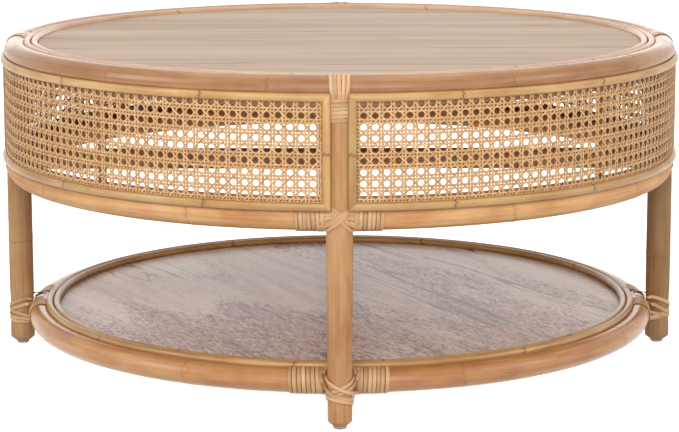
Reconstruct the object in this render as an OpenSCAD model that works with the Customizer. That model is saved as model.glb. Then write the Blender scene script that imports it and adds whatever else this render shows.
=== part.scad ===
// Round two-tier coffee table of rattan poles with a cane webbing apron.
// The origin is on the floor under the centre. The front leg stands at -Y and the left leg at -X.

/* [Overall size] */
// Diameter over the trim strips of the apron
table_d = 900; // [800:10:1000]
// Height of the top ring's crown above the floor
table_h = 422; // [400:1:480]
// Height of the lower apron ring's centre line
apron_z = 253.5; // [225:0.5:265]
// Height of the shelf ring's centre line
shelf_z = 50.5; // [40:0.5:70]

/* [Poles] */
// Diameter of the bent poles of the rings
ring_d = 30; // [28:0.5:32]
// Diameter of the legs
leg_d = 31; // [30:0.5:33]
// Distance of the leg axes outside the apron rings' centre line
leg_offset = 3; // [2:0.5:4]
// Depth of the notch that seats the shelf ring against each leg
shelf_notch = 1.5; // [1:0.5:3]
// Height to which a leg's saddle rises beside the top ring
leg_saddle = 7; // [5:0.5:8]
// Diameter of the cross pole that runs from left to right
cross_d = 28; // [27:0.5:30]
// Diameter of the two short cross poles
cross_short_d = 26; // [22:0.5:26]
// Diameter of the spindles behind the cane
spindle_d = 10.5; // [8:0.5:12]
// Azimuth of a spindle past the leg on its right-hand side
spindle_azimuth = 48; // [42:1:48]
// Depth of a spindle's tenon in each ring
tenon_depth = 8; // [5:1:10]

/* [Split rattan strips] */
// Width of the trims of the apron
trim_w = 10.5; // [9:0.5:11]
// Thickness of the trims of the apron
trim_t = 5.5; // [5:0.5:6]
// Gap between the two side trims of a leg
trim_gap = 19.7; // [19:0.1:21]
// Distance from the top ring's centre line down to the middle of the top trims
top_trim_drop = 9.75; // [9:0.25:11]
// Distance from the apron ring's centre line up to the middle of the bottom trims
bottom_trim_rise = 15.25; // [14:0.25:16]
// Width of a strip at the edge of the top
top_strip_w = 10; // [9:0.5:11]
// Height of a strip at the edge of the top
top_strip_t = 8; // [7:0.5:9]
// Width of a rod at the edge of the shelf
shelf_strip_w = 9.2; // [8:0.2:10]
// Height of a rod at the edge of the shelf
shelf_strip_t = 9.6; // [8:0.2:10]

/* [Panels] */
// Thickness of both wood panels
panel_t = 12; // [10:1:14]
// Distance of the top panel's face below the top ring's crown
top_recess = 5.5; // [4:0.5:7]
// Distance of the shelf panel's face below the shelf ring's crown
shelf_recess = 4; // [2:0.5:5]
// Depth of the rebate that the top strips sit in
top_rebate_depth = 3; // [2:0.5:4]
// Depth of the rebate that the shelf strips sit in
shelf_rebate_depth = 0.5; // [0.5:0.5:1]
// Width of a batten
batten_w = 40; // [30:5:50]
// Thickness of a batten
batten_t = 12; // [10:1:12]
// Distance of the battens' centre lines from the middle of the table
batten_x = 180; // [150:10:200]

/* [Cane webbing] */
// Thickness of the cane webbing
cane_t = 2.5; // [2:0.5:3]
// Thickness of the folded hem behind its upper and lower edges
hem_t = 4; // [3:0.5:4]
// Height of the folded hem
hem_h = 7; // [5:1:8]

/* [Bindings] */
// Thickness of a layer of peel
peel_t = 1.6; // [1.2:0.1:1.8]
// Width of the strap over the top ring
strap_w = 26.7; // [22:0.1:28]
// Height of the winding round the leg below the top ring
winding_h = 28; // [22:1:34]
// Half the length of a ring that an apron binding covers
apron_wrap_l = 54; // [45:1:60]
// Half the length of a ring that a shelf binding covers
shelf_wrap_l = 58; // [50:1:65]
// Height of the apron binding round the leg
apron_wrap_h = 29; // [26:1:30]
// Height of the shelf binding round the leg
shelf_wrap_h = 34; // [30:1:38]

/* [Feet and fasteners] */
// Diameter of a glide
glide_d = 17; // [15:0.5:20]
// Height of a glide below the leg
glide_h = 4; // [2.5:0.5:4]
// Height of the chamfer at the foot of a leg
foot_chamfer = 5; // [3:0.5:8]
// Diameter of the dowels
dowel_d = 8; // [6:1:8]
// Diameter of the screws in the legs
leg_screw_d = 5; // [4:0.5:5]
// Diameter of the screws in the battens
batten_screw_d = 4; // [3.5:0.5:4.5]

/* [Hidden] */
$fn = 96;

FRONT = 270;
RIGHT = 0;
BACK = 90;
LEFT = 180;
LEGS = [FRONT, RIGHT, BACK, LEFT];

pole_colour = [0.78, 0.58, 0.41];
trim_colour = [0.88, 0.70, 0.43];
cane_colour = [0.90, 0.74, 0.54];
peel_colour = [0.85, 0.67, 0.46];
top_colour = [0.76, 0.68, 0.61];
shelf_colour = [0.68, 0.58, 0.52];
batten_colour = [0.72, 0.58, 0.42];
glide_colour = [0.80, 0.80, 0.78];
steel_colour = [0.60, 0.60, 0.62];

// Radii of the rings' centre lines and of the leg axes
skin_r = table_d / 2 - trim_t;
frame_r = skin_r - ring_d / 2;
leg_r = frame_r + leg_offset;
shelf_r = leg_r - leg_d / 2 - ring_d / 2 + shelf_notch;

// Heights
top_z = table_h - ring_d / 2;
top_face_z = table_h - top_recess;
shelf_face_z = shelf_z + ring_d / 2 - shelf_recess;
leg_top_z = top_z - ring_d / 2 + leg_saddle;
top_trim_z = top_z - top_trim_drop;
bottom_trim_z = apron_z + bottom_trim_rise;
foot_z = glide_h;

// Edge strips: radius of the outer edge of the outer one at the top and on the shelf
strip_clearance = 0.5;
top_strip_r = frame_r - 10;
shelf_strip_r = shelf_r - 7;
top_rebate_r = top_strip_r - 2 * top_strip_w - strip_clearance;
shelf_rebate_r = shelf_strip_r - 2 * shelf_strip_w - strip_clearance;

// Corner of the trims beside a leg, measured across from the leg's middle
mitre_y = trim_gap / 2;
mitre_top_z = top_trim_z + trim_w / 2;
mitre_bottom_z = bottom_trim_z - trim_w / 2;

// Bindings
wrap_d = leg_d + 2 * peel_t;
winding_top_z = leg_top_z - 3;
winding_z = winding_top_z - winding_h;
apron_wrap_z = apron_z - 16;
shelf_wrap_z = shelf_z - shelf_wrap_h / 2;
strap_from = -60;
strap_to = 125;
apron_wrap_from = 15;
apron_wrap_over = 170;
shelf_wrap_from = 10;
shelf_wrap_under = -100;
shelf_wrap_over = 105;
sector_step = 5;

// Fasteners
top_screw_l = 70;
cross_screw_l = 80;
shelf_screw_l = 45;
batten_screw_l = 20;
screw_head_h = 3;
screw_sink = 1.2;
glide_nail_d = 2.5;
glide_nail_l = 16;
cross_screw_z = apron_z + 5;
arc_dowel_z = apron_z - 5;
arc_dowel_l = 60;
seam_dowel_l = 50;
cross_dowel_l = 68;
batten_screw_y = [-250, -85, 85, 250];

// Seams of the top ring and of the shelf ring, as azimuths
TOP_SEAMS = [-34, 6.5, 173.5];
SHELF_SEAMS = [4, 184];

// Places its children at a leg, with X pointing outwards and the leg's axis at the origin
module at_leg(azimuth) {
  rotate([0, 0, azimuth])
    translate([leg_r, 0, 0])
      children();
}

// A round pole bent to radius r at height z, over part of the circle
module bent_pole(r, z, d, from = 0, sweep = 360) {
  rotate([0, 0, from])
    rotate_extrude(angle = sweep)
      translate([r, z])
        circle(d = d);
}

// A straight round pole along X from the middle of the table
module radial_pole(d, length, z) {
  translate([0, 0, z])
    rotate([0, 90, 0])
      cylinder(d = d, h = length);
}

// The cross pole that meets a leg, as far as the leg's axis
module cross_pole(azimuth) {
  d = azimuth % 180 == 0 ? cross_d : cross_short_d;
  rotate([0, 0, azimuth])
    radial_pole(d, leg_r, apron_z);
}

// Plain cylinder of a leg, over the height that its neighbours are coped to
module leg_pole(azimuth, d = leg_d) {
  at_leg(azimuth)
    cylinder(d = d, h = table_h);
}

// Section of a split rattan strip: flat below, round above, centred on X
module strip_section(w, t) {
  intersection() {
    union() {
      translate([0, t - w / 2])
        circle(d = w);
      translate([-w / 2, 0])
        square([w, max(t - w / 2, 0.01)]);
    }
    translate([-w / 2, 0])
      square([w, t]);
  }
}

// The same section standing on the outside of the apron at height z
module trim_section(z) {
  translate([skin_r, z])
    rotate(-90)
      strip_section(trim_w, trim_t);
}

// Countersunk wood screw along Z, with its head at the origin and its point at -length
module wood_screw(d, length) {
  translate([0, 0, -length])
    cylinder(d = d, h = length);
  translate([0, 0, -screw_head_h])
    cylinder(d1 = d, d2 = 2 * d, h = screw_head_h);
}

// Screw down through the top ring into a leg
module top_screw(azimuth) {
  rotate([0, 0, azimuth])
    translate([frame_r, 0, table_h - screw_sink])
      wood_screw(leg_screw_d, top_screw_l);
}

// Screw from outside through a leg, at height z
module side_screw(azimuth, z, length) {
  at_leg(azimuth)
    translate([leg_d / 2 - screw_sink, 0, z])
      rotate([0, 90, 0])
        wood_screw(leg_screw_d, length);
}

// All three screws of a leg
module screws_of_leg(azimuth) {
  top_screw(azimuth);
  side_screw(azimuth, cross_screw_z, cross_screw_l);
  side_screw(azimuth, shelf_z, shelf_screw_l);
}

// Dowel through a leg that joins two apron arcs
module arc_dowel(azimuth) {
  rotate([0, 0, azimuth])
    translate([frame_r, arc_dowel_l / 2, arc_dowel_z])
      rotate([90, 0, 0])
        cylinder(d = dowel_d, h = arc_dowel_l);
}

// Dowel across a seam of a ring
module seam_dowel(azimuth, r, z) {
  rotate([0, 0, azimuth])
    translate([r, seam_dowel_l / 2, z])
      rotate([90, 0, 0])
        cylinder(d = dowel_d, h = seam_dowel_l);
}

// Dowel through the long cross pole that joins the short ones
module cross_dowel() {
  translate([0, cross_dowel_l / 2, apron_z])
    rotate([90, 0, 0])
      cylinder(d = dowel_d, h = cross_dowel_l);
}

// Spindle of the quadrant that starts at an azimuth
module spindle(quadrant) {
  spindle_z = apron_z + ring_d / 2 - tenon_depth;
  rotate([0, 0, quadrant + spindle_azimuth])
    translate([frame_r, 0, spindle_z])
      cylinder(d = spindle_d, h = top_z - ring_d / 2 + tenon_depth - spindle_z);
}

// Half the space at a mitre: everything above the 45 degree plane through the outer corner.
// side is 1 or -1 across the leg, and up is 1 at a top corner or -1 at a bottom corner.
module beyond_mitre(azimuth, side, up) {
  reach = 80;
  corner_z = up > 0 ? mitre_top_z : mitre_bottom_z;
  rotate([0, 0, azimuth])
    translate([skin_r, side * mitre_y, corner_z])
      rotate([-45 * side * up + (up > 0 ? 0 : 180), 0, 0])
        translate([-reach / 2, -reach / 2, 0])
          cube(reach);
}

// The other half of that space
module within_mitre(azimuth, side, up) {
  reach = 80;
  corner_z = up > 0 ? mitre_top_z : mitre_bottom_z;
  rotate([0, 0, azimuth])
    translate([skin_r, side * mitre_y, corner_z])
      rotate([-45 * side * up + (up > 0 ? 180 : 0), 0, 0])
        translate([-reach / 2, -reach / 2, 0])
          cube(reach);
}

// Peel wound round a leg, as the trims and the cane are notched for it
module leg_wraps(azimuth) {
  at_leg(azimuth) {
    translate([0, 0, winding_z])
      cylinder(d = wrap_d, h = leg_top_z - winding_z);
    translate([0, 0, apron_wrap_z])
      cylinder(d = wrap_d, h = apron_wrap_h);
  }
}

// Section of a ring's pole with a layer of peel, between two angles from straight outwards
module wrapped_section(from, to) {
  sector = [for (a = [from : sector_step : to]) ring_d * [cos(a), sin(a)]];
  intersection() {
    circle(d = ring_d + 2 * peel_t);
    polygon(concat([[0, 0]], sector));
  }
}

// Wrapped length of a ring beside a leg, from y0 to y1 across the leg's middle.
// A binding takes the ring's pole out of it.
module ring_wrap(azimuth, r, z, y0, y1, from, to) {
  start = asin(y0 / r);
  sweep = asin(y1 / r) - start;
  rotate([0, 0, azimuth + start])
    rotate_extrude(angle = sweep)
      translate([r, z])
        wrapped_section(from, to);
}

// The windings of a binding on both sides of a leg
module apron_ring_wraps(azimuth) {
  to = apron_wrap_over;
  ring_wrap(azimuth, frame_r, apron_z, apron_wrap_from, apron_wrap_l, -to, to);
  ring_wrap(azimuth, frame_r, apron_z, -apron_wrap_l, -apron_wrap_from, -to, to);
}

module shelf_ring_wraps(azimuth) {
  under = shelf_wrap_under;
  over = shelf_wrap_over;
  ring_wrap(azimuth, shelf_r, shelf_z, shelf_wrap_from, shelf_wrap_l, under, over);
  ring_wrap(azimuth, shelf_r, shelf_z, -shelf_wrap_l, -shelf_wrap_from, under, over);
}

// Round wood panel with a rebate for the edge strips
module round_panel(face_z, rebate_r, rebate_depth, outer_r) {
  rotate_extrude()
    polygon([
      [0, face_z - panel_t],
      [outer_r, face_z - panel_t],
      [outer_r, face_z - rebate_depth],
      [rebate_r, face_z - rebate_depth],
      [rebate_r, face_z],
      [0, face_z]
    ]);
}

// Screws of one batten, up into the panel above it
module screws_of_batten(x, bottom_z) {
  for (y = batten_screw_y)
    translate([x, y, bottom_z])
      rotate([180, 0, 0])
        wood_screw(batten_screw_d, batten_screw_l);
}

// Batten under a panel, coped to the ring round it
module batten(x, panel_face_z, r, z) {
  bottom_z = panel_face_z - panel_t - batten_t;
  difference() {
    intersection() {
      translate([x - batten_w / 2, -r, bottom_z])
        cube([batten_w, 2 * r, batten_t]);
      cylinder(r = r - ring_d / 6, h = table_h);
    }
    bent_pole(r, z, ring_d);
    screws_of_batten(x, bottom_z);
  }
}

// Strip lying on a panel's rebate, clear of the pole ring beside it
module edge_strip(outer_r, w, t, seat_z, r, z) {
  rotate_extrude()
    difference() {
      translate([outer_r - w / 2, seat_z])
        strip_section(w, t);
      translate([r, z])
        circle(d = ring_d);
    }
}

// ---- top ----

module top_panel() {
  bottom_z = top_face_z - panel_t - batten_t;
  color(top_colour)
    difference() {
      round_panel(top_face_z, top_rebate_r, top_rebate_depth, frame_r - ring_d / 2 - 0.3);
      screws_of_batten(-batten_x, bottom_z);
      screws_of_batten(batten_x, bottom_z);
    }
}

module top_batten(x) {
  color(batten_colour)
    batten(x, top_face_z, frame_r, top_z);
}

module top_ring(from, to) {
  color(pole_colour)
    difference() {
      bent_pole(frame_r, top_z, ring_d, from, to - from);
      for (azimuth = LEGS)
        top_screw(azimuth);
      for (seam = TOP_SEAMS)
        seam_dowel(seam, frame_r, top_z);
      for (quadrant = LEGS)
        spindle(quadrant);
    }
}

module top_strip(outer_r) {
  color(trim_colour)
    edge_strip(outer_r, top_strip_w, top_strip_t, top_face_z - top_rebate_depth, frame_r, top_z);
}

// ---- legs ----

module leg(azimuth) {
  color(pole_colour)
    difference() {
      at_leg(azimuth) {
        translate([0, 0, foot_z])
          cylinder(d1 = glide_d, d2 = leg_d, h = foot_chamfer);
        translate([0, 0, foot_z + foot_chamfer])
          cylinder(d = leg_d, h = leg_top_z - foot_z - foot_chamfer);
      }
      bent_pole(frame_r, top_z, ring_d, azimuth - 5, 10);
      at_leg(azimuth)
        cylinder(d = glide_nail_d, h = glide_h + glide_nail_l);
      screws_of_leg(azimuth);
      arc_dowel(azimuth);
    }
}

// One glide: a domed button with a nail
module glide() {
  rotate_extrude()
    polygon([
      [0, 0],
      [glide_d / 2 - 2, 0],
      [glide_d / 2 - 0.6, 0.8],
      [glide_d / 2, glide_h - 0.8],
      [glide_d / 2, glide_h],
      [glide_nail_d / 2, glide_h],
      [glide_nail_d / 2, glide_h + glide_nail_l - 2],
      [0, glide_h + glide_nail_l]
    ]);
}

module glides() {
  color(glide_colour)
    for (azimuth = LEGS)
      at_leg(azimuth)
        glide();
}

// ---- apron ----

module cane_panel(quadrant) {
  low_z = mitre_bottom_z + 1;
  high_z = top_z - 8;
  color(cane_colour)
    difference() {
      rotate([0, 0, quadrant])
        rotate_extrude(angle = 90) {
          translate([skin_r - cane_t, low_z])
            square([cane_t, high_z - low_z]);
          translate([skin_r - cane_t - hem_t, low_z])
            square([hem_t + 0.5, hem_h]);
          translate([skin_r - cane_t - hem_t, high_z - hem_h])
            square([hem_t + 0.5, hem_h]);
        }
      bent_pole(frame_r, top_z, ring_d);
      bent_pole(frame_r, apron_z, ring_d);
      for (azimuth = [quadrant, quadrant + 90]) {
        leg_pole(azimuth);
        leg_wraps(azimuth);
        apron_ring_wraps(azimuth);
      }
    }
}

module long_trim(quadrant, z, up) {
  color(trim_colour)
    difference() {
      rotate([0, 0, quadrant])
        rotate_extrude(angle = 90)
          trim_section(z);
      within_mitre(quadrant, 1, up);
      within_mitre(quadrant + 90, -1, up);
      leg_wraps(quadrant);
      leg_wraps(quadrant + 90);
    }
}

module side_trim(azimuth, side) {
  tilt = side * asin((mitre_y + trim_w / 2) / skin_r);
  difference() {
    rotate([0, 0, azimuth + tilt])
      translate([skin_r, 0, mitre_bottom_z])
        linear_extrude(height = mitre_top_z - mitre_bottom_z)
          rotate(-90)
            strip_section(trim_w, trim_t);
    beyond_mitre(azimuth, side, 1);
    beyond_mitre(azimuth, side, -1);
    leg_wraps(azimuth);
    leg_pole(azimuth);
  }
}

module side_trims(azimuth) {
  color(trim_colour) {
    side_trim(azimuth, 1);
    side_trim(azimuth, -1);
  }
}

module spindles() {
  color(pole_colour)
    for (quadrant = LEGS)
      spindle(quadrant);
}

module apron_ring(quadrant) {
  color(pole_colour)
    difference() {
      bent_pole(frame_r, apron_z, ring_d, quadrant, 90);
      for (azimuth = [quadrant, quadrant + 90]) {
        leg_pole(azimuth);
        cross_pole(azimuth);
        arc_dowel(azimuth);
      }
      spindle(quadrant);
    }
}

module cross_pole_long() {
  color(pole_colour)
    difference() {
      for (azimuth = [LEFT, RIGHT])
        cross_pole(azimuth);
      for (azimuth = [LEFT, RIGHT]) {
        leg_pole(azimuth);
        side_screw(azimuth, cross_screw_z, cross_screw_l);
      }
      cross_dowel();
    }
}

module cross_pole_short(azimuth) {
  color(pole_colour)
    difference() {
      cross_pole(azimuth);
      translate([-cross_d, 0, 0])
        radial_pole(cross_d, 2 * cross_d, apron_z);
      leg_pole(azimuth);
      side_screw(azimuth, cross_screw_z, cross_screw_l);
      cross_dowel();
    }
}

// ---- shelf ----

module shelf_panel() {
  bottom_z = shelf_face_z - panel_t - batten_t;
  color(shelf_colour)
    difference() {
      round_panel(shelf_face_z, shelf_rebate_r, shelf_rebate_depth, shelf_r - ring_d / 2 - 0.3);
      screws_of_batten(-batten_x, bottom_z);
      screws_of_batten(batten_x, bottom_z);
    }
}

module shelf_batten(x) {
  color(batten_colour)
    batten(x, shelf_face_z, shelf_r, shelf_z);
}

module shelf_ring(from, to) {
  color(pole_colour)
    difference() {
      bent_pole(shelf_r, shelf_z, ring_d, from, to - from);
      for (azimuth = LEGS) {
        leg_pole(azimuth);
        side_screw(azimuth, shelf_z, shelf_screw_l);
      }
      for (seam = SHELF_SEAMS)
        seam_dowel(seam, shelf_r, shelf_z);
    }
}

module shelf_strip(outer_r) {
  color(trim_colour)
    edge_strip(outer_r, shelf_strip_w, shelf_strip_t, shelf_face_z - shelf_rebate_depth, shelf_r, shelf_z);
}

// ---- bindings ----

// Strap over the top ring, and the winding on the leg below it
module top_binding(azimuth) {
  color(peel_colour)
    difference() {
      union() {
        ring_wrap(azimuth, frame_r, top_z, -strap_w / 2, strap_w / 2, strap_from, strap_to);
        at_leg(azimuth)
          translate([0, 0, winding_z])
            cylinder(d = wrap_d, h = winding_top_z - winding_z);
        at_leg(azimuth)
          translate([0, 0, winding_top_z - 1])
            intersection() {
              cylinder(d = wrap_d, h = top_z - winding_top_z);
              translate([0, -mitre_y + 0.5, 0])
                cube([leg_d, 2 * mitre_y - 1, leg_d]);
            }
      }
      bent_pole(frame_r, top_z, ring_d, azimuth - 5, 10);
      at_leg(azimuth)
        cylinder(d = leg_d, h = leg_top_z);
      top_screw(azimuth);
    }
}

// Crossing strands over the leg and windings on the apron ring
module apron_binding(azimuth) {
  color(peel_colour)
    difference() {
      union() {
        apron_ring_wraps(azimuth);
        at_leg(azimuth)
          translate([0, 0, apron_wrap_z])
            intersection() {
              cylinder(d = wrap_d, h = apron_wrap_h);
              translate([-leg_offset, -leg_d, 0])
                cube([leg_d, 2 * leg_d, apron_wrap_h]);
            }
      }
      bent_pole(frame_r, apron_z, ring_d, azimuth - 10, 20);
      leg_pole(azimuth);
    }
}

// Crossing strands round the leg and windings on the shelf ring
module shelf_binding(azimuth) {
  color(peel_colour)
    difference() {
      union() {
        shelf_ring_wraps(azimuth);
        at_leg(azimuth)
          translate([0, 0, shelf_wrap_z])
            cylinder(d = wrap_d, h = shelf_wrap_h);
      }
      bent_pole(shelf_r, shelf_z, ring_d, azimuth - 10, 20);
      leg_pole(azimuth);
    }
}

// ---- fasteners ----

module batten_screws() {
  color(steel_colour)
    for (x = [-batten_x, batten_x]) {
      screws_of_batten(x, top_face_z - panel_t - batten_t);
      screws_of_batten(x, shelf_face_z - panel_t - batten_t);
    }
}

module leg_screws() {
  color(steel_colour)
    for (azimuth = LEGS)
      screws_of_leg(azimuth);
}

module dowels() {
  color(batten_colour) {
    for (azimuth = LEGS)
      arc_dowel(azimuth);
    for (seam = TOP_SEAMS)
      seam_dowel(seam, frame_r, top_z);
    for (seam = SHELF_SEAMS)
      seam_dowel(seam, shelf_r, shelf_z);
    cross_dowel();
  }
}

top_panel();
top_batten(-batten_x);  // top_batten_left
top_batten(batten_x);  // top_batten_right
top_ring(TOP_SEAMS[2], TOP_SEAMS[0] + 360);  // top_ring_front
top_ring(TOP_SEAMS[0], TOP_SEAMS[1]);  // top_ring_right
top_ring(TOP_SEAMS[1], TOP_SEAMS[2]);  // top_ring_back
top_strip(top_strip_r);  // top_strip_outer
top_strip(top_strip_r - top_strip_w);  // top_strip_inner
leg(FRONT);  // leg_front
leg(RIGHT);  // leg_right
leg(BACK);  // leg_back
leg(LEFT);  // leg_left
glides();
cane_panel(RIGHT);  // cane_back_right
cane_panel(BACK);  // cane_back_left
cane_panel(LEFT);  // cane_front_left
cane_panel(FRONT);  // cane_front_right
long_trim(RIGHT, top_trim_z, 1);  // top_trim_back_right
long_trim(BACK, top_trim_z, 1);  // top_trim_back_left
long_trim(LEFT, top_trim_z, 1);  // top_trim_front_left
long_trim(FRONT, top_trim_z, 1);  // top_trim_front_right
long_trim(RIGHT, bottom_trim_z, -1);  // bottom_trim_back_right
long_trim(BACK, bottom_trim_z, -1);  // bottom_trim_back_left
long_trim(LEFT, bottom_trim_z, -1);  // bottom_trim_front_left
long_trim(FRONT, bottom_trim_z, -1);  // bottom_trim_front_right
side_trims(FRONT);  // side_trims_front
side_trims(RIGHT);  // side_trims_right
side_trims(BACK);  // side_trims_back
side_trims(LEFT);  // side_trims_left
spindles();
apron_ring(RIGHT);  // apron_ring_back_right
apron_ring(BACK);  // apron_ring_back_left
apron_ring(LEFT);  // apron_ring_front_left
apron_ring(FRONT);  // apron_ring_front_right
cross_pole_long();
cross_pole_short(FRONT);  // cross_pole_front
cross_pole_short(BACK);  // cross_pole_back
shelf_panel();
shelf_batten(-batten_x);  // shelf_batten_left
shelf_batten(batten_x);  // shelf_batten_right
shelf_ring(SHELF_SEAMS[1], SHELF_SEAMS[0] + 360);  // shelf_ring_front
shelf_ring(SHELF_SEAMS[0], SHELF_SEAMS[1]);  // shelf_ring_back
shelf_strip(shelf_strip_r);  // shelf_strip_outer
shelf_strip(shelf_strip_r - shelf_strip_w);  // shelf_strip_inner
top_binding(FRONT);  // top_binding_front
top_binding(RIGHT);  // top_binding_right
top_binding(BACK);  // top_binding_back
top_binding(LEFT);  // top_binding_left
apron_binding(FRONT);  // apron_binding_front
apron_binding(RIGHT);  // apron_binding_right
apron_binding(BACK);  // apron_binding_back
apron_binding(LEFT);  // apron_binding_left
shelf_binding(FRONT);  // shelf_binding_front
shelf_binding(RIGHT);  // shelf_binding_right
shelf_binding(BACK);  // shelf_binding_back
shelf_binding(LEFT);  // shelf_binding_left
batten_screws();
leg_screws();
dowels();
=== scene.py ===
import math

import bpy
import numpy as np
from mathutils import Matrix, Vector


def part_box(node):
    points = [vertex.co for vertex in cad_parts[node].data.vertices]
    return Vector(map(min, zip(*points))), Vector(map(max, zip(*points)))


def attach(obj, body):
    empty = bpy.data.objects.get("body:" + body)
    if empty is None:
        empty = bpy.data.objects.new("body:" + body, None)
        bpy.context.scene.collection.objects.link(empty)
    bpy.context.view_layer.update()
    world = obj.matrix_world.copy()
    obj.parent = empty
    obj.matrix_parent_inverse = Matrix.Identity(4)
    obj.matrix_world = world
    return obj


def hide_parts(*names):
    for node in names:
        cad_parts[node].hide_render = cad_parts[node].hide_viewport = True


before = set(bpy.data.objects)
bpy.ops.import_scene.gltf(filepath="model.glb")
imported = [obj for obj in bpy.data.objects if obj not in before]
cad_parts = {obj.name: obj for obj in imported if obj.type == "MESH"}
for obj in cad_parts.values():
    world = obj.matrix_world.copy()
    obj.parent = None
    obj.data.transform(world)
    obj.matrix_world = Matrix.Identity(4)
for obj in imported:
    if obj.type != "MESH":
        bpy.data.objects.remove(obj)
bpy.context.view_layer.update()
rng = np.random.default_rng(11)

# Shapes are worked out in millimetres and written to the meshes in metres.
# The wood materials and the studio are in metres.
MM = 0.001


# ---- places, read from the CAD frame ----

def span(node):
    """Lowest and highest corner of a CAD node, in millimetres"""
    low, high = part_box(node)
    return np.array(low) / MM, np.array(high) / MM


low, high = span("apron_ring_back_right")
TUBE = (high[2] - low[2]) / 2
APRON_Z = (high[2] + low[2]) / 2
low, high = span("top_ring_back")
TOP_Z = (high[2] + low[2]) / 2
FRAME_R = high[1] - TUBE
low, high = span("shelf_ring_back")
SHELF_Z = (high[2] + low[2]) / 2
SHELF_R = high[1] - TUBE
low, high = span("leg_right")
LEG_TUBE = (high[1] - low[1]) / 2
LEG_R = (high[0] + low[0]) / 2
LEG_FOOT = low[2]
SKIN_R = FRAME_R + TUBE
low, high = span("top_trim_back_right")
TOP_TRIM_Z = (low[2] + high[2]) / 2
TRIM_W = high[2] - low[2]
low, high = span("bottom_trim_back_right")
BOTTOM_TRIM_Z = (low[2] + high[2]) / 2
low, high = span("cane_back_right")
CANE_LOW = low[2]
CANE_HIGH = high[2]
low, high = span("cross_pole_long")
CROSS_TUBE = (high[2] - low[2]) / 2
CROSS_Z = (low[2] + high[2]) / 2
low, high = span("cross_pole_front")
SHORT_TUBE = (high[2] - low[2]) / 2
# Height of the top panel's face, in metres
TOP_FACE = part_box("top_panel")[1][2]

LEGS = {"front": 270, "right": 0, "back": 90, "left": 180}
# Each quadrant of the apron runs anticlockwise from this azimuth, seen from above
QUADRANTS = {"front_right": 270, "back_right": 0, "back_left": 90, "front_left": 180}
# Thickness of a strand of peel
PEEL_T = 0.85
# Distances from a node at which a pole gets a row of points, and the least gap between rows
NODE_STEPS = (-6, -2.6, -1.2, 0, 1.2, 2.6, 6)
LEAST_STEP = 0.45
# A node is a groove in a pole with a swelling beside it
NODE_GROOVE = 0.22
NODE_SWELL = 0.28
# An end in view is rounded over this length, by this share of the radius
END_LENGTH = 1.4
END_SHARE = 0.07
# Length of the longest waves in a pole, and in a split strand
POLE_WAVE = 320
SPLIT_WAVE = 260


# ---- mesh of swept strands ----

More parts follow.
